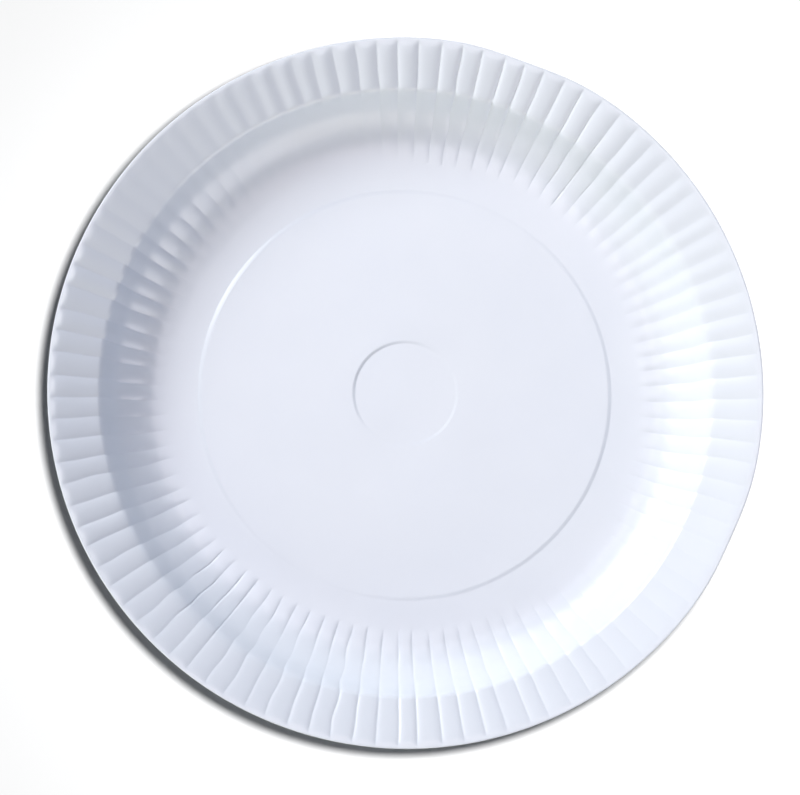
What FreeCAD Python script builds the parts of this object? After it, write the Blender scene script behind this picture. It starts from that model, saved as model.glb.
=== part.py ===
"""Plastic plate: one thin sheet of white plastic pressed to shape, with a fluted wall and rim.

Millimetres, +Z up, origin at the middle of the level ring that the plate stands on.
"""
import FreeCAD, Part
import math
import os

import Sketcher
from FreeCAD import Rotation, Vector

doc = FreeCAD.newDocument("plastic_plate")

# ---------------------------------------------------------------- driving dimensions
sizes = doc.addObject("Spreadsheet::Sheet", "sizes")
sizes.Label = "sizes"

DIMENSIONS = [
    ("sheet_thickness", 0.35, "thickness of the pressed sheet"),
    # the plain middle
    ("dish_foot_radius", 15.2, "small dish at the middle, foot of its sloping step"),
    ("dish_top_radius", 16.0, "small dish at the middle, top of its sloping step"),
    ("dish_height", 0.08, "underside of the small dish over the table"),
    ("floor_top_radius", 61.5, "raised floor, top of its sloping step"),
    ("floor_foot_radius", 62.5, "raised floor, foot of its sloping step"),
    ("floor_height", 0.25, "underside of the raised floor over the table"),
    ("step_round", 0.9, "rounding of the corners of both steps"),
    ("band_start_radius", 67.0, "on the standing ring, where the fluted band takes over"),
    # the fluted band
    ("flute_start_radius", 71.2, "inner ends of the flutes"),
    ("wall_foot_radius", 79.5, "where the lines of the standing ring and the wall meet"),
    ("wall_foot_round", 13.0, "hollow curve at the foot of the wall"),
    ("wall_bend_radius", 86.5, "where the lines of the wall's lower and upper runs meet"),
    ("wall_bend_height", 5.5, "underside of the wall's bend over the table"),
    ("wall_bend_round", 14.0, "hollow curve where the wall grows steeper"),
    ("shoulder_radius", 90.8, "where the lines of the wall and the rim meet"),
    ("shoulder_height", 12.9, "underside of the shoulder over the table"),
    ("shoulder_round", 2.2, "rounding over the shoulder"),
    ("flute_end_radius", 104.4, "outer ends of the flutes"),
    ("flute_count", 100, "flutes round the plate"),
    ("inner_flute_height", 0.16, "height of a crest over its valleys, near the inner ends"),
    ("rim_flute_height", 0.42, "height of a crest over its valleys, on the rim"),
    ("flute_crown", 2.4, "power of the crest's curve: more makes it flatter and steeper-sided"),
    ("inner_nose_length", 5.0, "length over which a flute rises at its inner end"),
    ("outer_nose_length", 2.0, "length over which a flute sinks at its outer end"),
    # the lip
    ("lip_height", 18.2, "underside of the level lip over the table"),
    ("lip_join_radius", 104.7, "on the lip, where the trimmed edge takes over from the band"),
    ("plate_radius", 105.0, "outer edge of the lip"),
    ("lip_edge_round", 0.12, "rounding of the trimmed edge"),
]
for row, (alias, value, meaning) in enumerate(DIMENSIONS, start=1):
    sizes.set(f"A{row}", meaning)
    sizes.set(f"B{row}", str(value))
    sizes.setAlias(f"B{row}", alias)
doc.recompute()


def size(alias):
    """One driving dimension, read from the sheet."""
    return float(sizes.get(alias))


# ---------------------------------------------------------------- the fluted band
# The band runs from the standing ring up the wall, over the shoulder and out to the lip. Its
# flutes change in width all the way and die away at both ends, so its two skins are free
# surfaces: one pitch of each is made, and turned round the plate. The two skins are the same
# surface, one sheet thickness apart, as in a sheet that a mould has pressed.

THICKNESS = size("sheet_thickness")
PITCH_ANGLE = 2 * math.pi / size("flute_count")
CENTRE = Vector(0, 0, 0)
UPWARD = Vector(0, 0, 1)


def valley_line():
    """The underside along a valley, as straight lines and tangent arcs in the XZ plane."""
    corners = [
        Vector(size("flute_start_radius"), 0, 0),
        Vector(size("wall_foot_radius"), 0, 0),
        Vector(size("wall_bend_radius"), 0, size("wall_bend_height")),
        Vector(size("shoulder_radius"), 0, size("shoulder_height")),
        Vector(size("flute_end_radius"), 0, size("lip_height")),
    ]
    rounds = [size("wall_foot_round"), size("wall_bend_round"), size("shoulder_round")]
    edges = []
    start = corners[0]
    for before, corner, after, radius in zip(corners, corners[1:], corners[2:], rounds):
        arriving = (corner - before).normalize()
        leaving = (after - corner).normalize()
        half_turn = arriving.getAngle(leaving) / 2
        setback = radius * math.tan(half_turn)
        inward = (leaving - arriving).normalize()
        arc_start = corner - arriving * setback
        arc_middle = corner + inward * (radius / math.cos(half_turn) - radius)
        arc_end = corner + leaving * setback
        edges.append(Part.makeLine(start, arc_start))
        edges.append(Part.Arc(arc_start, arc_middle, arc_end).toShape())
        start = arc_end
    edges.append(Part.makeLine(start, corners[-1]))
    return edges


def crest_height(travelled, length, shoulder):
    """How far a flute's crest stands up: it grows up to the shoulder and sinks at both ends."""
    rise = min(1.0, travelled / size("inner_nose_length"))
    fall = 1 - min(1.0, (length - travelled) / size("outer_nose_length"))
    start, full = size("inner_flute_height"), size("rim_flute_height")
    grown = start + (full - start) * min(1.0, travelled / shoulder)
    return grown * rise ** 2 * (3 - 2 * rise) * (1 - fall ** 2)


def stations():
    """Points along the valley line, each with the sheet's normal and the crest's height."""
    edges = valley_line()
    length = sum(edge.Length for edge in edges)
    shoulder = length - edges[-1].Length - edges[-2].Length / 2
    standing_ring, foot_curve, low_wall, wall_bend = 6, 9, 2, 5
    high_wall, shoulder_curve, rim = 5, 5, 12
    divisions = [standing_ring, foot_curve, low_wall, wall_bend, high_wall, shoulder_curve, rim]
    found = []
    travelled = 0.0
    for edge, steps in zip(edges, divisions):
        first, last = edge.ParameterRange
        for step in range(1 if found else 0, steps + 1):
            parameter = first + (last - first) * step / steps
            along = edge.tangentAt(parameter)
            normal = Vector(-along.z, 0, along.x)
            crest = crest_height(travelled + edge.Length * step / steps, length, shoulder)
            found.append((edge.valueAt(parameter), normal, crest))
        travelled += edge.Length
    return found


def flute_skin(lift):
    """One skin over one pitch: lift is 0 for the underside and the thickness for the top."""
    across = 8
    level = 1e-9
    rows = []
    for point, normal, crest in stations():
        row = []
        for step in range(across + 1):
            sideways = step / across - 0.5
            section = 1 - abs(2 * sideways) ** size("flute_crown")
            offset = normal * (lift + crest * section)
            if crest < level:
                offset = Vector(0, 0, lift)
            turn = Rotation(UPWARD, math.degrees(sideways * PITCH_ANGLE))
            row.append(turn.multVec(point + offset))
        rows.append(row)
    surface = Part.BSplineSurface()
    surface.interpolate(rows)
    return surface.toShape()


def turned_copies(shape):
    """Copies of a shape, one for each flute."""
    copies = []
    for number in range(int(size("flute_count"))):
        copy = shape.copy()
        copy.rotate(CENTRE, UPWARD, math.degrees(number * PITCH_ANGLE))
        copies.append(copy)
    return copies


def level_strip(skin, height, plain_radius):
    """The flat strip at one height between the flutes' ends and a plain circle."""
    flute_end = [edge for edge in skin.Edges
                 if edge.BoundBox.ZLength < 1e-6 and abs(edge.BoundBox.ZMin - height) < 1e-6][0]
    flute_ends = Part.Wire(Part.__sortEdges__(turned_copies(flute_end)))
    plain = Part.Wire(Part.makeCircle(plain_radius, Vector(0, 0, height)))
    return Part.makeFace([plain, flute_ends], "Part::FaceMakerBullseye")


def fluted_band():
    """The two skins, the level strips inside and outside them and two plain walls, closed."""
    joins = [(size("band_start_radius"), 0.0), (size("lip_join_radius"), size("lip_height"))]
    faces = []
    for lift in (0.0, THICKNESS):
        skin = flute_skin(lift)
        faces += turned_copies(skin)
        for radius, height in joins:
            faces.append(level_strip(skin, height + lift, radius))
    for radius, height in joins:
        circle = Part.makeCircle(radius, Vector(0, 0, height))
        faces.append(circle.extrude(Vector(0, 0, THICKNESS)))
    shell = Part.makeShell(faces)
    shell.sewShape()
    return Part.Solid(shell)


band = doc.addObject("Part::Feature", "fluted_band")
band.Label = "fluted_band"
band.Shape = fluted_band()
band.Placement = FreeCAD.Placement()

# ---------------------------------------------------------------- the plate
# One body: the fluted band, then the plain middle and the trimmed edge turned on to it.

body = doc.addObject("PartDesign::Body", "plate")
body.Label = "plate"
body.BaseFeature = band
doc.recompute()


def sheet_section(name, corners):
    """A sketch of the sheet's section on the XZ plane, one sheet thickness deep.

    The underside's corners are given as (radius, height), each the name of a cell or an
    empty string for zero, and the upper corners stand straight above them.
    """
    sketch = body.newObject("Sketcher::SketchObject", name)
    sketch.Label = name
    plane = [item for item in body.Origin.OriginFeatures if item.Role == "XZ_Plane"][0]
    sketch.AttachmentSupport = [(plane, "")]
    sketch.MapMode = "FlatFace"

    under = [Vector(size(radius) if radius else 0, size(height) if height else 0, 0)
             for radius, height in corners]
    over = [spot + Vector(0, THICKNESS, 0) for spot in under]
    outline = under + over[::-1]
    count = len(outline)
    for index, spot in enumerate(outline):
        sketch.addGeometry(Part.LineSegment(spot, outline[(index + 1) % count]), False)
    for index in range(count):
        following = (index + 1) % count
        sketch.addConstraint(Sketcher.Constraint("Coincident", index, 2, following, 1))

    def bind(kind, first, second, value, alias):
        """A dimension from one line's start to another's, bound to a cell."""
        number = sketch.addConstraint(Sketcher.Constraint(kind, first, 1, second, 1, value))
        sketch.setExpression(f"Constraints[{number}]", f"sizes.{alias}")

    root, level_axis, upright_axis = -1, -1, -2
    for index, (radius, height) in enumerate(corners):
        if radius:
            bind("DistanceX", root, index, size(radius), radius)
        else:
            on_axis = Sketcher.Constraint("PointOnObject", index, 1, upright_axis)
            sketch.addConstraint(on_axis)
        if height:
            bind("DistanceY", root, index, size(height), height)
        else:
            on_table = Sketcher.Constraint("PointOnObject", index, 1, level_axis)
            sketch.addConstraint(on_table)
        above = count - 1 - index
        sketch.addConstraint(Sketcher.Constraint("Vertical", index, 1, above, 1))
        bind("DistanceY", index, above, THICKNESS, "sheet_thickness")
    return sketch


def turned(name, section):
    """A full turn of a section about the plate's upright axis."""
    feature = body.newObject("PartDesign::Revolution", name)
    feature.Label = name
    feature.Profile = section
    feature.ReferenceAxis = (section, ["V_Axis"])
    feature.Angle = 360
    doc.recompute()
    return feature


def circles_at(shape, places):
    """Names of the circular edges that lie at any of the (radius, height) places."""
    names = []
    for number, edge in enumerate(shape.Edges, start=1):
        if not isinstance(edge.Curve, Part.Circle):
            continue
        for radius, height in places:
            close = abs(edge.Curve.Radius - radius) < 1e-4
            if close and abs(edge.Curve.Center.z - height) < 1e-4:
                names.append(f"Edge{number}")
    return names


def rounded(name, base, corners, alias):
    """A fillet on the underside's and the upper side's circles at some corners."""
    places = []
    for radius, height in corners:
        low = size(height) if height else 0.0
        places += [(size(radius), low), (size(radius), low + THICKNESS)]
    feature = body.newObject("PartDesign::Fillet", name)
    feature.Label = name
    feature.Base = (base, circles_at(base.Shape, places))
    feature.setExpression("Radius", f"sizes.{alias}")
    doc.recompute()
    return feature


STEPS = [
    ("dish_foot_radius", "dish_height"),
    ("dish_top_radius", "floor_height"),
    ("floor_top_radius", "floor_height"),
    ("floor_foot_radius", ""),
]
middle_section = sheet_section(
    "middle_section", [("", "dish_height")] + STEPS + [("band_start_radius", "")])
middle = turned("middle", middle_section)

edge_section = sheet_section(
    "edge_section", [("lip_join_radius", "lip_height"), ("plate_radius", "lip_height")])
trimmed_edge = turned("trimmed_edge", edge_section)

step_rounds = rounded("step_rounds", trimmed_edge, STEPS, "step_round")
edge_rounds = rounded("edge_rounds", step_rounds, [("plate_radius", "lip_height")],
                      "lip_edge_round")
body.Tip = edge_rounds
body.Placement = FreeCAD.Placement()
doc.recompute()

# ---------------------------------------------------------------- checks and export
for item in doc.Objects:
    if "Invalid" in item.State or "Error" in item.State:
        raise RuntimeError(f"{item.Label} failed: {item.State}")

plate = body.Shape
if plate.isNull() or not plate.isValid() or len(plate.Solids) != 1:
    raise RuntimeError("the plate is not one valid solid")
plate = plate.Solids[0]

GRAMS_PER_CUBIC_MILLIMETRE = 0.00105
across = plate.optimalBoundingBox(True, False).XLength
print(f"plate: {plate.Volume:.0f} mm3, {plate.Volume * GRAMS_PER_CUBIC_MILLIMETRE:.1f} g, "
      f"{len(plate.Faces)} faces, {across:.2f} mm across")

os.makedirs("parts", exist_ok=True)
plate.exportStep("parts/plate.step")
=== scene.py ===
# %% [markdown]
# # A pressed plastic plate
#
# A throwaway plate is one sheet of plastic, about a third of a millimetre thick, that was
# warmed and sucked down on to a mould. It has no parts to put together, so everything that
# we see is the shape of the sheet: a flat middle with two shallow steps, a wall, a rim, and
# a hundred flutes that keep the thin sheet stiff.
#
# The engineering model of the plate is loaded first. It fixes where the plate stands and how
# big it is, and everything that follows is measured from it, in metres.

# %% Load the engineering model
import math

import bpy
import numpy as np
from mathutils import Matrix, Vector


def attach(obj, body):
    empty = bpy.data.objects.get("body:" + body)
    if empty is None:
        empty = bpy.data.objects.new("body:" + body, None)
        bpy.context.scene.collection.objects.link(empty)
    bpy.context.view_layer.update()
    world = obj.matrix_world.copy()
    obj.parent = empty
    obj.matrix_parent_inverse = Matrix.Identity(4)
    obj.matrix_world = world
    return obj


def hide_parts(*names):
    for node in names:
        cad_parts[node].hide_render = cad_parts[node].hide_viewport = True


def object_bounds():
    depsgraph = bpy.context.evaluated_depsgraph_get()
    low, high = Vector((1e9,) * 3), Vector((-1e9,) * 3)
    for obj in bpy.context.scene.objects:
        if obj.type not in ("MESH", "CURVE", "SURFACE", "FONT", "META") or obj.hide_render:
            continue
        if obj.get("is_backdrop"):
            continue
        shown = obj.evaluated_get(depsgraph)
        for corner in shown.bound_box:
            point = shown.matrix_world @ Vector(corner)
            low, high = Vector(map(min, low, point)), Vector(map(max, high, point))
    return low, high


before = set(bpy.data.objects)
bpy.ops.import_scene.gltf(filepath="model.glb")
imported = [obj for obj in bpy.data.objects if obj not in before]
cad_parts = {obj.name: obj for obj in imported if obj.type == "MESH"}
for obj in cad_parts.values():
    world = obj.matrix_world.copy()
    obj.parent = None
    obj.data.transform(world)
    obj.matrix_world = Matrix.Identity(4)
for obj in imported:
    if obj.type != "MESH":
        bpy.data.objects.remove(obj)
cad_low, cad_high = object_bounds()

MM = 0.001
table_height = cad_low.z
plate_radius = (cad_high.x - cad_low.x) / 2
print(f"The plate is {2 * plate_radius / MM:.0f} mm across, "
      f"{(cad_high.z - table_height) / MM:.1f} mm high, and stands at z = {table_height:.4f}.")

# %% [markdown]
# ## The section of the sheet
#
# Cut the plate in half and its edge draws a single line from the middle to the lip. A
# mould maker would draw that line as straight runs with rounded corners, so we do the same.
# Each corner gets a radius, and the rounding touches both runs without a kink. We could
# draw the line as a curve object and spin it, but the flutes need a height and a slope at
# every radius, so the line is kept as plain arrays that can be looked up. A second line has
# a rounder shoulder, for two parts of the plate where that corner is softer.

# %% Corners of the section, in millimetres
DISH_HEIGHT = 0.08
FLOOR_HEIGHT = 0.25
LIP_HEIGHT = 18.2
DISH_EDGE, FLOOR_INNER = 15.2, 16.0
FLOOR_OUTER, FLOOR_FOOT = 61.5, 62.5
SHOULDER_RADIUS = 90.8
FLUTE_START, FLUTE_END = 71.2, 104.4

section_corners = [
    (0.0, DISH_HEIGHT),          # middle of the small dish
    (DISH_EDGE, DISH_HEIGHT),
    (FLOOR_INNER, FLOOR_HEIGHT),  # raised floor round the dish
    (FLOOR_OUTER, FLOOR_HEIGHT),
    (FLOOR_FOOT, 0.0),           # level ring that the plate stands on
    (79.5, 0.0),                 # foot of the wall
    (86.5, 5.5),                 # the wall grows steeper here
    (SHOULDER_RADIUS, 12.9),
    (FLUTE_END, LIP_HEIGHT),
    (plate_radius / MM, LIP_HEIGHT),
]
STEP_ROUND, FOOT_ROUND, BEND_ROUND, LIP_ROUND = 0.9, 13.0, 14.0, 0.6
SHOULDER_ROUND, SOFT_SHOULDER_ROUND = 1.3, 6.0
lower_rounds = [STEP_ROUND] * 4 + [FOOT_ROUND, BEND_ROUND]


def rounded_line(corners, rounds, spacing=0.05):
    """Closely spaced points along straight runs joined by tangent arcs."""
    corners = [np.array(corner) for corner in corners]
    points = [corners[0]]
    for before, corner, after, radius in zip(corners, corners[1:], corners[2:], rounds):
        arriving = (corner - before) / np.linalg.norm(corner - before)
        leaving = (after - corner) / np.linalg.norm(after - corner)
        turn = math.acos(np.clip(arriving @ leaving, -1, 1))
        setback = radius * math.tan(turn / 2)
        arc_start = corner - arriving * setback
        left = np.array([-arriving[1], arriving[0]])
        side = math.copysign(1, left @ leaving)
        centre = arc_start + left * side * radius
        for angle in np.linspace(0, turn, max(2, int(radius * turn / spacing))):
            spoke = -left * side * math.cos(angle) + arriving * math.sin(angle)
            points.append(centre + spoke * radius)
    points.append(corners[-1])
    return np.array(points)


line = rounded_line(section_corners, lower_rounds + [SHOULDER_ROUND, LIP_ROUND])
soft_line = rounded_line(section_corners, lower_rounds + [SOFT_SHOULDER_ROUND, LIP_ROUND])
line_steps = np.linalg.norm(np.diff(line, axis=0), axis=1)
line_travel = np.concatenate([[0], np.cumsum(line_steps)])
print(f"The section line has {len(line)} points and is {line_travel[-1]:.1f} mm long.")

# %% [markdown]
# ## Rows and columns
#
# The sheet is a grid bent round the plate: rows are rings at a chosen radius, and columns
# run outwards. A flat stretch needs few rows, and a bend or the end of a flute needs many,
# so the rows are listed stretch by stretch. Every flute gets ten columns, close together at
# the valleys, where the surface turns sharply. The plain middle has no flutes, so two
# columns for each flute are enough there.

# %% Choose the rows
middle_stretches = [(14.8, 2), (16.4, 8), (36.0, 6), (60.2, 6), (63.2, 13), (70.0, 1)]
band_stretches = [(71.2, 1), (75.0, 6), (83.0, 8), (89.6, 7), (92.6, 7), (102.6, 5),
                  (104.6, 5), (plate_radius / MM - 0.16, 1)]


def spread_rows(start, stretches):
    """Radii of rows: each stretch ends at a radius and holds some evenly spaced rows."""
    rows = []
    for end, count in stretches:
        rows += list(np.linspace(start, end, count + 1)[1:])
        start = end
    return np.array(rows)


middle_rows = spread_rows(0.0, middle_stretches)
band_rows = spread_rows(middle_rows[-1], band_stretches)
FLUTES = 100
across_flute = np.array([-0.5, -0.46, -0.40, -0.31, -0.17, 0.0, 0.17, 0.31, 0.40, 0.46])
across_middle = np.array([-0.5, 0.0])
print(f"{len(middle_rows)} rows in the middle, {len(band_rows)} in the fluted band, "
      f"{FLUTES * len(across_flute)} columns round the rim.")

# %% [markdown]
# ## One flute
#
# Seen end on, a flute is a broad, softly crowned ridge with a narrow valley on each side.
# A power curve draws that well: it is nearly flat over the middle and falls steeply at both
# sides. The higher the power, the flatter the crown. On parts of the plate the valleys are
# as round as the crests. A cosine draws that, and the two curves can be mixed. Along its
# length the flute stands at full height, with a rounded nose at each end where it sinks back
# into the sheet.
#
# No two flutes are the same. On one side of the plate they stand tall, and on another they
# are almost flat. `by_place` describes that with bell curves set round the plate. The same
# curves could be painted as a weight map, but numbers are easier to change.

# %% Sizes of the flutes, in millimetres
INNER_HEIGHT, RIM_HEIGHT = 0.16, 0.42
FLUTE_CROWN = 2.4
INNER_NOSE, OUTER_NOSE = 5.0, 2.0

flute_azimuth = np.arange(FLUTES) * 360 / FLUTES


def by_place(start, changes):
    """A factor for each flute: start, changed near some azimuths (azimuth, width, change)."""
    factor = np.full(FLUTES, start)
    for middle, width, change in changes:
        away = (flute_azimuth - middle + 180) % 360 - 180
        factor *= 1 + change * np.exp(-(away / width) ** 2)
    return factor


print(f"A flute is {2 * math.pi * 98 / FLUTES:.1f} mm wide in the middle of the rim.")

# %% [markdown]
# ## Chance and place
#
# Chance gives every flute a small change of place, lean, waver and height. The numbers come
# from a seeded generator, so every run makes the same plate. Place then scales the flutes
# over a whole side of the plate. Four more changes belong to places as well. The waist makes
# flutes shallower in the upper half of the wall. Late flutes start only at the shoulder and
# leave the wall below them plain. Soft ones have round valleys. The bulge swells each ridge
# near the foot of the wall into a low lens, narrower at its inner end, which gathers a soft
# spot of light on the shaded side.

# %% What is particular to each flute
SHIFT, LEAN, WAVER = 0.045, 0.035, 0.014   # usual size, as shares of a flute
WAVER_LENGTH = 2.1                         # along the section line; a full wave is 2 pi times this

handling = np.random.default_rng(11)
valley_shift = handling.normal(0, SHIFT, FLUTES)
valley_lean = handling.normal(0, LEAN, FLUTES)
valley_waver = handling.normal(0, WAVER, FLUTES) * by_place(1.0, [(245, 30, 1.5)])
waver_start = handling.uniform(0, 2 * math.pi, FLUTES)
own_height = 1 + np.clip(handling.normal(0, 0.10, FLUTES), -0.22, 0.22)
own_start = np.clip(handling.normal(0, 0.6, FLUTES), -1.2, 1.2)
end_change = np.clip(handling.normal(0, 0.12, FLUTES), -0.25, 0.25)

rim_factor = own_height * by_place(0.85, [
    (36, 14, -0.18), (77, 26, 0.92), (100, 12, 0.22), (122, 9, -0.30), (140, 15, -0.80),
    (163, 12, 0.55), (232, 22, -0.36), (314, 22, -0.72)])
inner_factor = own_height * by_place(0.90, [
    (2, 16, 0.80), (65, 40, -0.30), (85, 12, 0.8), (120, 15, -0.35), (160, 24, 0.2),
    (242, 38, 0.50), (322, 24, -0.80)])
crown = by_place(FLUTE_CROWN, [(80, 26, 1.0), (262, 24, 0.75)])
start_change = own_start + by_place(1.0, [
    (245, 40, -2.2), (115, 30, 0.9), (82, 9, -1.8), (8, 18, -1.5)]) - 1

WAIST_MIDDLE, WAIST_HALF = 0.65, 0.36      # shares of the way from flute start to shoulder
waist = by_place(1.0, [(250, 44, 0.72)]) - 1
LATE_START, LATE_RISE = -2.6, 4.2          # from the shoulder, along the section line
late = np.minimum(by_place(1.0, [(112, 15, 1.5)]) - 1, 1)
softness = np.minimum(by_place(1.0, [(128, 30, 1.3), (28, 24, 0.9)]) - 1, 1)
outer_nose = OUTER_NOSE * by_place(1.0, [(82, 34, 0.9), (25, 26, 1.0)])
BULGE_HEIGHT, BULGE_RADIUS, BULGE_HALF = 0.35, 81.4, 5.5
BULGE_TIP = 0.6                            # width of its inner end, as a share of a flute
bulge_factor = own_height * (by_place(1.0, [(168, 31, 1.0)]) - 1)
print(f"On the rim the flutes stand {RIM_HEIGHT * rim_factor.min():.2f} to "
      f"{RIM_HEIGHT * rim_factor.max():.2f} mm high.")

# %% [markdown]
# ## Creases
#
# A few valleys are pinched into a thin dark line. That needs a real notch in the mesh: one
# column of points is pushed down along part of the valley. A bump texture could draw the
# line, but a notch also breaks up the light at its ends.

# %% Pinched valleys
CREASE_NOSE = 3.0
creases = [    # valley, from and to which radius, and how deep, in millimetres
    (6, 70.5, 73.5, 0.10), (8, 70, 73, 0.12), (14, 79, 88, 0.12), (15, 73, 96, 0.20),
    (16, 77, 100, 0.16), (17, 76, 104, 0.12), (20, 90, 104, 0.14), (21, 91, 103, 0.14),
    (62, 72, 85, 0.16), (63, 78, 95, 0.16), (64, 72, 88, 0.14), (65, 72, 95, 0.10),
    (67, 74, 80, 0.10), (69, 72, 78, 0.10)]
crease_depth = np.zeros(FLUTES)
crease_from, crease_to = np.zeros(FLUTES), np.ones(FLUTES)
for valley, inner, outer, depth in creases:
    crease_depth[valley] = depth
    crease_from[valley], crease_to[valley] = inner, outer
print(f"{len(creases)} of {FLUTES} valleys are pinched, at most {crease_depth.max():.2f} mm deep.")

# %% [markdown]
# ## Height over the section line
#
# One function now gives the height at any point of the fluted band, and a second one says
# where each valley runs. Distances along a flute are measured as travel along the section
# line, not as radius, because on the steep wall the radius hardly changes.

# %% Flutes as a height and a place
start_travel = np.interp(FLUTE_START, line[:, 0], line_travel)
end_travel = np.interp(FLUTE_END, line[:, 0], line_travel)
shoulder_travel = np.interp(SHOULDER_RADIUS, line[:, 0], line_travel)


def smooth(value):
    """0 up to 0, 1 from 1, with a soft start and end."""
    held = np.clip(value, 0, 1)
    return held ** 2 * (3 - 2 * held)


def flute_height(radius, travel, flute, across):
    """Height of the sheet over the valley line, in millimetres."""
    rise = smooth((travel - start_travel - start_change[flute]) / INNER_NOSE)
    fall = 1 - np.clip((end_travel + end_change[flute] - travel) / outer_nose[flute], 0, 1)
    climb = np.clip((travel - start_travel) / (shoulder_travel - start_travel), 0, 1)
    inner = INNER_HEIGHT * inner_factor[flute]
    grown = inner + (RIM_HEIGHT * rim_factor[flute] - inner) * climb
    narrowed = np.clip(1 - ((climb - WAIST_MIDDLE) / WAIST_HALF) ** 2, 0, 1)
    begun = smooth((travel - shoulder_travel - LATE_START) / LATE_RISE)
    kept = (1 - waist[flute] * narrowed) * (1 - late[flute] * (1 - begun))
    crest = grown * kept * rise * (1 - fall ** 2)
    sharp = 1 - np.abs(2 * across) ** crown[flute]
    soft = (1 + np.cos(2 * math.pi * across)) / 2
    ridge = crest * (sharp + softness[flute] * (soft - sharp))
    from_tip = np.clip((radius - BULGE_RADIUS + BULGE_HALF) / BULGE_HALF, 0, 1)
    lens_width = BULGE_TIP + (1 - BULGE_TIP) * from_tip
    aside = np.abs(2 * across / lens_width) ** 3
    lens = np.clip(1 - ((radius - BULGE_RADIUS) / BULGE_HALF) ** 4 - aside, 0, 1)
    way_in = np.clip((radius - crease_from[flute]) / CREASE_NOSE, 0, 1)
    way_out = np.clip((crease_to[flute] - radius) / CREASE_NOSE, 0, 1)
    crease = crease_depth[flute] * way_in * way_out * (across == -0.5)
    return ridge + BULGE_HEIGHT * bulge_factor[flute] * lens - crease


def valley_place(travel, valley):
    """Where a valley lies round the plate, counted in flutes."""
    valley_number = valley % FLUTES
    way_out = (travel - start_travel) / (end_travel - start_travel)
    lean = valley_lean[valley_number] * (way_out - 0.5)
    waver = valley_waver[valley_number] * np.sin(travel / WAVER_LENGTH + waver_start[valley_number])
    return valley - 0.5 + valley_shift[valley_number] + lean + waver


print(f"Flutes run from {start_travel:.1f} to {end_travel:.1f} mm along the section line.")

# %% [markdown]
# ## The warp of the whole plate
#
# The plate doesn't lie quite true. Its rim rises and falls by a few tenths of a millimetre
# in long waves, and the flat middle has a faint swell. The two shallow steps are deeper on
# one side than on the other, so light catches only part of each ring, and there the step
# round the floor is wider too. The foot of the wall starts a little early on one side, and
# the lip is knocked in at two places. A Noise texture on a Displace modifier would do it by
# chance. Cosines and bell curves are used instead, because they put each wave where we want
# it.

# %% Bell curves round the plate
def bump(angle, azimuth, width):
    """1 at an azimuth, falling smoothly to 0 on both sides; degrees, angle in radians."""
    away = (np.degrees(angle) - azimuth + 180) % 360 - 180
    return np.exp(-(away / width) ** 2)


def bumps(angle, places):
    """Several bumps added up, each one given as azimuth, width and height."""
    return sum(height * bump(angle, azimuth, width) for azimuth, width, height in places)


one_width_away = bump(0.5, math.degrees(0.5) - 8, 8)
print(f"One width away from its middle a bump is down to {one_width_away:.2f}.")

# %% Where the plate is out of true, in millimetres
lip_knocks = [(70, 8, 1.05), (335, 7, 0.65)]       # azimuth, width in degrees, height
floor_edge_bumps = [(155, 34, 0.38), (345, 20, 0.06), (60, 50, -0.18), (245, 52, -0.22)]
dish_edge_bumps = [(140, 40, 0.20), (318, 30, 0.10), (40, 35, -0.11), (240, 38, -0.12)]
wider_step = [(152, 36, 1.0)]
raised_foot = [(142, 32, 0.85)]
soft_shoulders = [(230, 24, 1.0), (30, 26, 1.0)]
rim_waves = [(2, 0.22, -0.6), (3, 0.14, 1.1)]      # waves round the plate, height, phase
floor_waves = [(3, 0.05, 9), (2, 0.04, -14)]       # waves, height, mm outwards for a radian

KNOCK_START, KNOCK_REACH = 93, 12
RIM_WAVE_START, RIM_WAVE_REACH = 72, 33
SWELL_END, SWELL_REACH, SWELL_CALM = 60, 30, 20
RISER, WIDE_RISER, DISH_RISER = FLOOR_FOOT - FLOOR_OUTER, 1.45, 0.8
FLOOR_TILT_START = 36
DISH_FADE = 22
FOOT_START, FOOT_REACH = 68, 9
print(f"The step round the floor is {RISER:.2f} mm wide, and {WIDE_RISER:.2f} mm at its widest.")

# %% Long waves, in millimetres
def pulled_in(radius, angle):
    """How far the lip stands inside its circle where it is knocked in."""
    near_lip = np.clip((radius - KNOCK_START) / KNOCK_REACH, 0, 1) ** 2
    return near_lip * bumps(angle, lip_knocks)


def warp_height(radius, angle):
    """Slow rise and fall of the sheet, added to the height of the section line."""
    outward = np.clip((radius - RIM_WAVE_START) / RIM_WAVE_REACH, 0, 1) ** 2
    rim_wave = sum(height * np.cos(count * angle + phase)
                   for count, height, phase in rim_waves)
    inward = (np.clip((SWELL_END - radius) / SWELL_REACH, 0, 1) ** 2
              * np.clip(radius / SWELL_CALM, 0, 1))
    floor_wave = sum(height * np.cos(count * angle + radius / twist)
                     for count, height, twist in floor_waves)
    floor_edge = bumps(angle, floor_edge_bumps)
    dish_edge = bumps(angle, dish_edge_bumps)
    riser = np.clip((FLOOR_FOOT - radius) / RISER, 0, 1)
    wide_riser = np.clip((FLOOR_FOOT - radius) / WIDE_RISER, 0, 1)
    widened = bumps(angle, wider_step) * (wide_riser - riser)
    floor_tilt = smooth((radius - FLOOR_TILT_START) / (FLOOR_OUTER - FLOOR_TILT_START))
    floor_part = floor_tilt * (riser + widened)
    dish_part = (np.clip((radius - DISH_EDGE) / DISH_RISER, 0, 1)
                 * (1 - smooth((radius - FLOOR_INNER) / DISH_FADE)))
    foot_lift = bumps(angle, raised_foot) * smooth((radius - FOOT_START) / FOOT_REACH)
    return (outward * rim_wave + inward * floor_wave + foot_lift + FLOOR_HEIGHT * widened
            + floor_edge * floor_part + dish_edge * dish_part)


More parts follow.
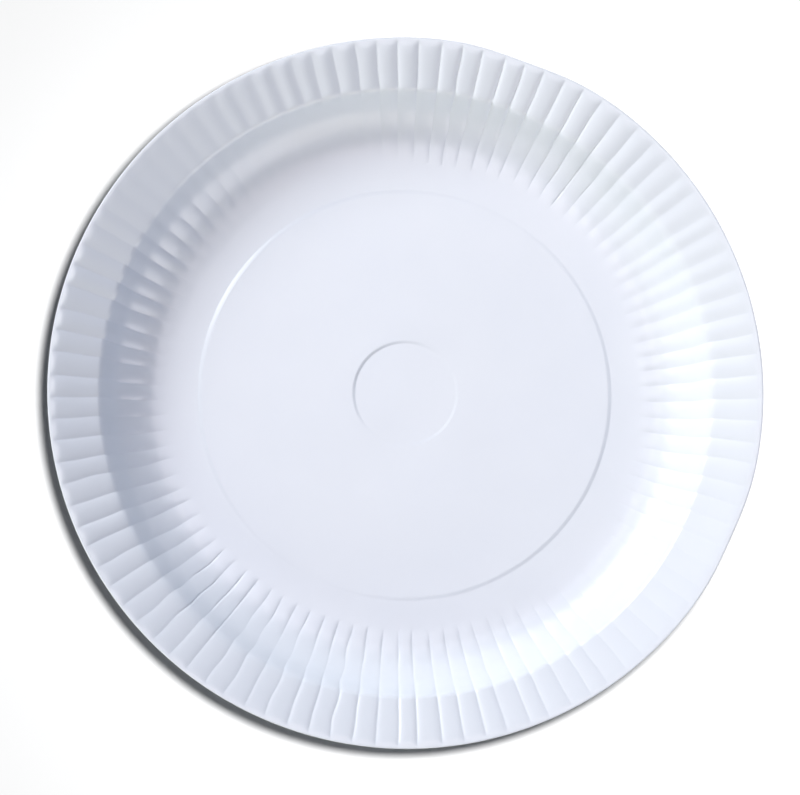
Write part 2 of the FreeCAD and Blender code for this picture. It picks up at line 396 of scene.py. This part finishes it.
all_round = np.linspace(0, 2 * math.pi, 361)
lip_wave = warp_height(FLUTE_END, all_round)
print(f"The lip wanders between {lip_wave.min():.2f} and {lip_wave.max():.2f} mm off its height, "
      f"and is knocked in by up to {pulled_in(FLUTE_END, all_round).max():.2f} mm.")

# %% [markdown]
# ## Build the sheet
#
# The top and the underside are the same surface, one sheet thickness apart, and a small
# half circle joins them round the trimmed edge. A Solidify modifier would do nearly the
# same. Making both sides here keeps the thickness square to the smooth sheet, and lets the
# trimmed edge be round. The result is one closed skin.
#
# The plate is round, so it may lie any way round. Its zero mark, from which every azimuth
# in this lesson counts, is turned back from +X by a quarter turn, and the lamps and the
# camera turn with it. Seen from the front right or the back left, the flat middle then
# mirrors none of the softboxes, which would wash out the two steps.

# %% Rings of points
SHEET = 0.35
SLOPE_STEP = 0.02
FLUTE_MARGIN = 0.1
PLATE_TURN = math.radians(-90)


def ring(radius, across, lift, beyond=0.0):
    """One row of points, never below the table. Lift goes up through the sheet."""
    height = np.interp(radius, line[:, 0], line[:, 1])
    travel = np.interp(radius, line[:, 0], line_travel)
    near, far = radius - SLOPE_STEP, radius + SLOPE_STEP
    slope = math.atan2(np.interp(far, line[:, 0], line[:, 1])
                       - np.interp(near, line[:, 0], line[:, 1]), far - near)
    flute = np.repeat(np.arange(FLUTES), len(across))
    place = np.tile(across, FLUTES)
    if radius >= FLUTE_START - FLUTE_MARGIN:
        left, right = valley_place(travel, flute), valley_place(travel, flute + 1)
        turned = left + (place + 0.5) * (right - left)
        up = lift + flute_height(radius, travel, flute, place)
    else:
        turned = flute + place
        up = np.full(len(place), lift)
    angle = turned * 2 * math.pi / FLUTES
    out = radius - math.sin(slope) * up + beyond - pulled_in(radius, angle)
    cut_corner = np.interp(radius, soft_line[:, 0], soft_line[:, 1]) - height
    level = height + cut_corner * bumps(angle, soft_shoulders)
    high = np.maximum(level + warp_height(radius, angle) + math.cos(slope) * up, 0.0)
    on_table = angle + PLATE_TURN
    return np.stack([out * np.cos(on_table), out * np.sin(on_table), high], axis=1) * MM


top_middle = [ring(radius, across_middle, SHEET) for radius in middle_rows]
top_band = [ring(radius, across_flute, SHEET) for radius in band_rows]
edge_turns = np.radians([90, 45, 0, -45, -90])
trimmed_edge = [ring(band_rows[-1], across_flute, SHEET / 2 * (1 + math.sin(turn)),
                     SHEET / 2 * math.cos(turn)) for turn in edge_turns[1:-1]]
under_band = [ring(radius, across_flute, 0.0) for radius in band_rows[::-1]]
under_middle = [ring(radius, across_middle, 0.0) for radius in middle_rows[::-1]]
print(f"{sum(len(r) for r in top_middle + top_band + trimmed_edge) + 1} points on top.")

# %% [markdown]
# Neighbouring rings are joined by quads. Where two columns for each flute meet ten, each
# pair of outer columns on one side faces six points on the other, and one many-sided face
# fills the gap. The rings that meet there have no flutes yet, so the join can't be seen.

# %% Join the rings
def join_rings(points, faces, rings, middle_first, middle_last):
    """Adds rings to a list of points and the faces between them, closing both middles."""
    starts = []
    for one in rings:
        starts.append(len(points))
        points.extend(map(tuple, one))
    for (inner, low), (outer, high) in zip(zip(rings, starts), zip(rings[1:], starts[1:])):
        few, many = len(inner), len(outer)
        if few == many:
            for i in range(few):
                j = (i + 1) % few
                faces.append((low + i, high + i, high + j, low + j))
        elif few < many:
            share = many // few
            for i in range(few):
                fan = [high + (i * share + step) % many for step in range(share + 1)]
                faces.append((low + i, *fan, low + (i + 1) % few))
        else:
            share = few // many
            for i in range(many):
                fan = [low + (i * share + step) % few for step in range(share + 1)]
                faces.append((high + (i + 1) % many, *fan[::-1], high + i))
    for middle, start, size, facing in ((middle_first, starts[0], len(rings[0]), 1),
                                        (middle_last, starts[-1], len(rings[-1]), -1)):
        centre = len(points)
        points.append(middle)
        for i in range(size):
            j = (i + 1) % size
            faces.append((centre, start + i, start + j)[::facing])


print(f"{len(top_middle + top_band + trimmed_edge + under_band + under_middle)} rings to join.")

# %% Make the mesh
points, faces = [], []
rings = top_middle + top_band + trimmed_edge + under_band + under_middle
top_centre = (0.0, 0.0, (DISH_HEIGHT + SHEET) * MM)
under_centre = (0.0, 0.0, DISH_HEIGHT * MM)
join_rings(points, faces, rings, top_centre, under_centre)

sheet_mesh = bpy.data.meshes.new("pressed_sheet")
sheet_mesh.from_pydata(points, [], faces)
sheet_mesh.validate()
sheet_mesh.polygons.foreach_set("use_smooth", [True] * len(sheet_mesh.polygons))
plate = bpy.data.objects.new("pressed_plate", sheet_mesh)
bpy.context.scene.collection.objects.link(plate)
plate.location.z = table_height
triangles = sum(len(face.vertices) - 2 for face in sheet_mesh.polygons)
print(f"The plate has {len(points)} points and {triangles} triangles.")

# %% [markdown]
# ## Shader maths that reads like maths
#
# A material is a small machine of nodes. Wiring a sum by hand takes three lines, so one
# small class wraps a socket and lets Python's own operators add the Math nodes. Every other
# node comes from one method, which sets the node's choices first and its sockets after.

# %% A socket that knows arithmetic
class Socket:
    """An output socket of a material, with the arithmetic that its shader needs."""

    def __init__(self, recipe, socket):
        self.recipe = recipe
        self.socket = socket

    def maths(self, operation, first, second):
        """A Math node between two values."""
        return self.recipe.node("ShaderNodeMath", {"operation": operation},
                                {0: first, 1: second})["Value"]

    def __add__(self, other):
        return self.maths("ADD", self, other)

    def __radd__(self, other):
        return self.maths("ADD", other, self)

    def __mul__(self, other):
        return self.maths("MULTIPLY", self, other)

    def __rmul__(self, other):
        return self.maths("MULTIPLY", other, self)


class Recipe:
    """The nodes of a material or a world, and the one method that adds to them."""

    def __init__(self, owner):
        owner.use_nodes = True
        self.tree = owner.node_tree
        self.tree.nodes.clear()

    def node(self, kind, settings=None, sockets=None):
        """Adds a node: its settings first, then its sockets, as values or links."""
        made = self.tree.nodes.new(kind)
        for key, value in (settings or {}).items():
            setattr(made, key, value)
        for key, value in (sockets or {}).items():
            if isinstance(value, Socket):
                self.tree.links.new(value.socket, made.inputs[key])
            else:
                made.inputs[key].default_value = value
        return {out.name: Socket(self, out) for out in made.outputs if out.enabled}


def noise(recipe, place, scale, detail):
    """Soft cloudy noise between 0 and 1, at a scale in lumps per metre."""
    return recipe.node("ShaderNodeTexNoise", {"noise_dimensions": "3D"},
                       {"Vector": place, "Scale": scale, "Detail": detail})["Fac"]


print("The shader tools are ready.")

# %% [markdown]
# ## White pressed plastic
#
# The plastic is a bright white with a trace of blue. It is glossy, yet not a mirror, and the
# gloss comes and goes in soft patches over a very faint ripple. Three noises do it: a broad
# one drifts the colour between two close whites, a middle one drifts the roughness, and a
# fine one tilts the shading a little through a Bump node. A painted texture would work as
# well, but noise needs no unwrapping and goes on over the trimmed edge to the underside.

# %% Mix the plastic
white_plastic = bpy.data.materials.new("white_pressed_plastic")
plastic = Recipe(white_plastic)
place = plastic.node("ShaderNodeTexCoord")["Object"]
CLOUD_SCALE, PATCH_SCALE, RIPPLE_SCALE = 28.0, 90.0, 260.0
clouds = noise(plastic, place, CLOUD_SCALE, 2.0)
patches = noise(plastic, place, PATCH_SCALE, 3.0)
ripple = noise(plastic, place, RIPPLE_SCALE, 2.0)

RIPPLE_STRENGTH, RIPPLE_DEPTH = 0.2, 0.02 * MM
GLOSSIEST, GLOSS_DRIFT = 0.285, 0.10       # roughness
COOL_WHITE = (0.80, 0.84, 0.92, 1.0)
MILK_WHITE = (0.83, 0.865, 0.93, 1.0)
tint = plastic.node("ShaderNodeMix", {"data_type": "RGBA"},
                    {"Factor": clouds, "A": COOL_WHITE, "B": MILK_WHITE})["Result"]
lift = plastic.node("ShaderNodeBump", {},
                    {"Strength": RIPPLE_STRENGTH, "Distance": RIPPLE_DEPTH,
                     "Height": ripple})["Normal"]
shader = plastic.node("ShaderNodeBsdfPrincipled", {},
                      {"Base Color": tint, "Roughness": GLOSSIEST + GLOSS_DRIFT * patches,
                       "IOR": 1.5, "Normal": lift})["BSDF"]
plastic.node("ShaderNodeOutputMaterial", {}, {"Surface": shader})
plate.data.materials.append(white_plastic)
print(f"{white_plastic.name} has {len(plastic.tree.nodes)} nodes, and its roughness stays "
      f"between {GLOSSIEST:.3f} and {GLOSSIEST + GLOSS_DRIFT:.3f}.")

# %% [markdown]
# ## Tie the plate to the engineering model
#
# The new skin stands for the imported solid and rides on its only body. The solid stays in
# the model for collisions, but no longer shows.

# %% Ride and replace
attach(plate, "root")
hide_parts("plate")
print(f"{plate.name} rides on root, and stands for the node plate.")

# %% [markdown]
# ## Table
#
# The plate lies on a plain white table. Near the plate the table is real paint, lit by a
# lamp, so that it takes the plate's shadow. Further out it should simply be white, and
# painting it with more and more light would be wasteful. So the material fades from a
# Diffuse shader to a plain white Emission with distance from the middle. Light Path keeps the
# emission to what the camera and reflections see, so the table never lights the plate.

# %% Paint the table
FADE_START, FADE_END = 0.15, 0.24
PAINT_GREY = (0.55, 0.55, 0.55, 1.0)

white_table = bpy.data.materials.new("white_table")
paint = Recipe(white_table)
table_place = paint.node("ShaderNodeTexCoord")["Object"]
away = paint.node("ShaderNodeVectorMath", {"operation": "LENGTH"}, {0: table_place})["Value"]
far = paint.node("ShaderNodeMapRange", {"interpolation_type": "SMOOTHSTEP"},
                 {"Value": away, "From Min": FADE_START, "From Max": FADE_END})["Result"]
rays = paint.node("ShaderNodeLightPath")
seen = rays["Is Camera Ray"] + rays["Is Glossy Ray"] + rays["Is Transmission Ray"]
lit = paint.node("ShaderNodeBsdfDiffuse", {}, {"Color": PAINT_GREY})["BSDF"]
white = paint.node("ShaderNodeEmission", {}, {"Strength": 1.0})["Emission"]
mixed = paint.node("ShaderNodeMixShader", {}, {0: far * seen, 1: lit, 2: white})["Shader"]
paint.node("ShaderNodeOutputMaterial", {}, {"Surface": mixed})
print(f"The paint fades to plain white between {FADE_START} and {FADE_END} m from the middle.")

# %% Lay the table top
TABLE_HALF = 6.0
TABLE_GAP = 0.02 * MM
table_corners = [(-TABLE_HALF, -TABLE_HALF, 0), (TABLE_HALF, -TABLE_HALF, 0),
                 (TABLE_HALF, TABLE_HALF, 0), (-TABLE_HALF, TABLE_HALF, 0)]
table_mesh = bpy.data.meshes.new("table_top")
table_mesh.from_pydata(table_corners, [], [(0, 1, 2, 3)])
table = bpy.data.objects.new("table_top", table_mesh)
bpy.context.scene.collection.objects.link(table)
table.location.z = table_height - TABLE_GAP
table.data.materials.append(white_table)
table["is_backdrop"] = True
print(f"The table top is {2 * TABLE_HALF:.0f} m wide, just under the plate.")

# %% [markdown]
# ## A softbox that can be aimed
#
# A softbox is an area lamp that faces the plate from a place given by azimuth and elevation.
# Its strength is given as a level: at level 1, a white card that faces the lamp renders
# white. That is easier to reason about than watts, which change with distance. Light linking
# lets each lamp reach one thing only, so the plate and the table can be lit apart, as a
# photographer would do with flags and screens.

# %% Aim, link and make a softbox
LAMP_DISTANCE = 3.0


def direction(azimuth, elevation):
    """A unit vector from the middle of the plate; azimuths count from its zero mark."""
    a, e = math.radians(azimuth) + PLATE_TURN, math.radians(elevation)
    return Vector((math.cos(a) * math.cos(e), math.sin(a) * math.cos(e), math.sin(e)))


def lights_only(lamp, thing):
    """Lets a lamp reach one thing and nothing else, and hides it from the camera."""
    chosen = bpy.data.collections.new(lamp.name + "_reaches")
    chosen.objects.link(thing)
    lamp.light_linking.receiver_collection = chosen
    lamp.visible_camera = False


def softbox(name, azimuth, elevation, width, height, level, colour):
    """A softbox that lights the plate. At level 1 a white card that faces it is white."""
    data = bpy.data.lights.new(name, "AREA")
    data.shape = "RECTANGLE"
    data.size, data.size_y, data.color = width, height, colour
    data.energy = level * (math.pi * LAMP_DISTANCE) ** 2
    lamp = bpy.data.objects.new(name, data)
    towards = direction(azimuth, elevation)
    lamp.location = towards * LAMP_DISTANCE
    lamp.rotation_mode = "QUATERNION"
    lamp.rotation_quaternion = towards.to_track_quat("Z", "Y")
    bpy.context.scene.collection.objects.link(lamp)
    lights_only(lamp, plate)
    return lamp


print(f"Softboxes stand {LAMP_DISTANCE:.0f} m from the plate.")

# %% [markdown]
# ## Light on the plate
#
# The key softbox stands low on one side. It leaves the wall nearest to it in shade, lights
# up the wall across the plate, and makes the flutes on the rim stand out. The top softbox
# lifts the flat parts, and a weaker, slightly warm fill keeps the shade from going grey. Two
# very faint cool lamps stand for light that comes back from the walls of a room.
#
# The key and the top softbox show in the gloss as well. A reflection of the other three
# would hide the flutes, so these are hidden from glossy rays. The last two softboxes do the
# opposite. They give highlights only: soft spots on the lenses of the shaded wall, which a
# diffuse lamp strong enough to make them would wash out.

# %% Lamps for form
softbox("key_softbox", 137, 28, 1.15, 1.15, 0.86, (0.965, 0.985, 1.0))
softbox("top_softbox", 90, 82, 1.5, 1.5, 0.35, (1.0, 0.93, 0.97))
fill = softbox("fill_softbox", 243, 13, 1.4, 1.4, 0.485, (0.99, 1.0, 0.84))
side = softbox("side_softbox", 320, 22, 1.1, 1.1, 0.07, (0.4, 0.55, 1.0))
back = softbox("back_softbox", 60, 25, 1.0, 1.0, 0.055, (0.35, 0.78, 1.0))
for lamp in (fill, side, back):
    lamp.visible_glossy = False
print("Five softboxes shape the plate, and two of them show in its gloss.")

# %% Lamps for highlights
glint = softbox("glint_softbox", 320, 20, 1.7, 2.3, 0.47, (1.0, 0.96, 0.94))
warm = softbox("warm_softbox", 287, 17, 1.6, 1.6, 0.26, (1.0, 0.90, 0.76))
for lamp in (glint, warm):
    lamp.visible_diffuse = False
print("Two softboxes show in the gloss alone.")

# %% [markdown]
# ## Light on the table
#
# The table has a small round lamp of its own, half a metre above it. A lamp this small and
# near casts a shadow with a crisp core and a narrow soft edge, and as it hangs a little to
# one side of the middle, the shadow shows on the other side.

# %% Table lamp
TABLE_LAMP_HEIGHT = 0.532
TABLE_LAMP_OFFSET = 0.0359
TABLE_LAMP_AZIMUTH = -16.2
TABLE_LAMP_WIDTH = 0.085
TABLE_LAMP_LEVEL = 2.15
table_lamp_data = bpy.data.lights.new("table_lamp", "AREA")
table_lamp_data.shape = "DISK"
table_lamp_data.size = TABLE_LAMP_WIDTH
table_lamp_data.energy = TABLE_LAMP_LEVEL * (math.pi * TABLE_LAMP_HEIGHT) ** 2
table_lamp = bpy.data.objects.new("table_lamp", table_lamp_data)
table_lamp.location = direction(TABLE_LAMP_AZIMUTH, 0) * TABLE_LAMP_OFFSET
table_lamp.location.z = TABLE_LAMP_HEIGHT
bpy.context.scene.collection.objects.link(table_lamp)
lights_only(table_lamp, table)
print(f"The table lamp hangs {TABLE_LAMP_OFFSET / MM:.0f} mm to the side of the middle.")

# %% [markdown]
# ## Backdrop
#
# The room is plain white to the camera and in reflections, at a strength of exactly 1, and
# only a faint blue glow to everything else. Light Path tells the two apart. A bright white
# world that lit the plate from all sides would be simpler, but it would flatten the flutes.

# %% Backdrop
FAINT_BLUE, GLOW_STRENGTH = (0.69, 0.81, 1.0, 1.0), 0.05
PLAIN_WHITE = (1.0, 1.0, 1.0, 1.0)
room = bpy.data.worlds.new("pale_room")
bpy.context.scene.world = room
walls = Recipe(room)
rays = walls.node("ShaderNodeLightPath")
seen = rays["Is Camera Ray"] + rays["Is Glossy Ray"] + rays["Is Transmission Ray"]
glow = walls.node("ShaderNodeBackground", {}, {
    "Color": FAINT_BLUE, "Strength": GLOW_STRENGTH})["Background"]
white_wall = walls.node("ShaderNodeBackground", {}, {
    "Color": PLAIN_WHITE, "Strength": 1.0})["Background"]
mixed = walls.node("ShaderNodeMixShader", {}, {0: seen, 1: glow, 2: white_wall})["Shader"]
walls.node("ShaderNodeOutputWorld", {}, {"Surface": mixed})
print(f"The world {room.name} has {len(walls.tree.nodes)} nodes.")

# %% [markdown]
# ## Camera
#
# The camera looks down from about 60 cm, a few degrees off the vertical, with a long lens
# that keeps the circle round. A Track To constraint could aim it, but from straight above
# such a constraint can't tell which way is up. So its three axes are worked out instead:
# backward from the aim, right from the side of the plate that should be at the top of the
# picture, and up from those two.

# %% Camera
TILT, TILT_AZIMUTH, TOP_AZIMUTH = 7.1, 249.4, 90
CAMERA_DISTANCE = 0.6116
AIM_AZIMUTH, AIM_OFFSET = 229.95, 3.03     # degrees, and millimetres off the plate's middle
SENSOR_WIDTH, FOCAL_LENGTH = 36.0, 92.48
AIM = direction(AIM_AZIMUTH, 0) * AIM_OFFSET * MM
camera_data = bpy.data.cameras.new("camera")
camera_data.sensor_width = SENSOR_WIDTH
camera_data.lens = FOCAL_LENGTH
camera = bpy.data.objects.new("camera", camera_data)
bpy.context.scene.collection.objects.link(camera)
bpy.context.scene.camera = camera

plate_middle = (cad_low + cad_high) / 2
camera.location = plate_middle + direction(TILT_AZIMUTH, 90 - TILT) * CAMERA_DISTANCE
backward = (camera.location - plate_middle - AIM).normalized()
right = direction(TOP_AZIMUTH, 0).cross(backward).normalized()
camera.rotation_mode = "QUATERNION"
camera.rotation_quaternion = Matrix(
    (right, backward.cross(right), backward)).transposed().to_quaternion()
print(f"The camera is {camera.location.z - table_height:.2f} m above the table, "
      f"tilted by {TILT} degrees, with a {camera_data.lens:.0f} mm lens.")

# %% [markdown]
# ## Finish
#
# Last, the colours are shown as they are, without a film look, and the new plate is measured
# against the engineering model.

# %% Measure and finish
bpy.context.scene.view_settings.view_transform = "Standard"
new_low, new_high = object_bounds()
growth = (new_high - new_low) - (cad_high - cad_low)
print("Against the engineering model the plate is larger by "
      f"{growth.x / MM:.2f}, {growth.y / MM:.2f} and {growth.z / MM:.2f} mm in x, y and z.")
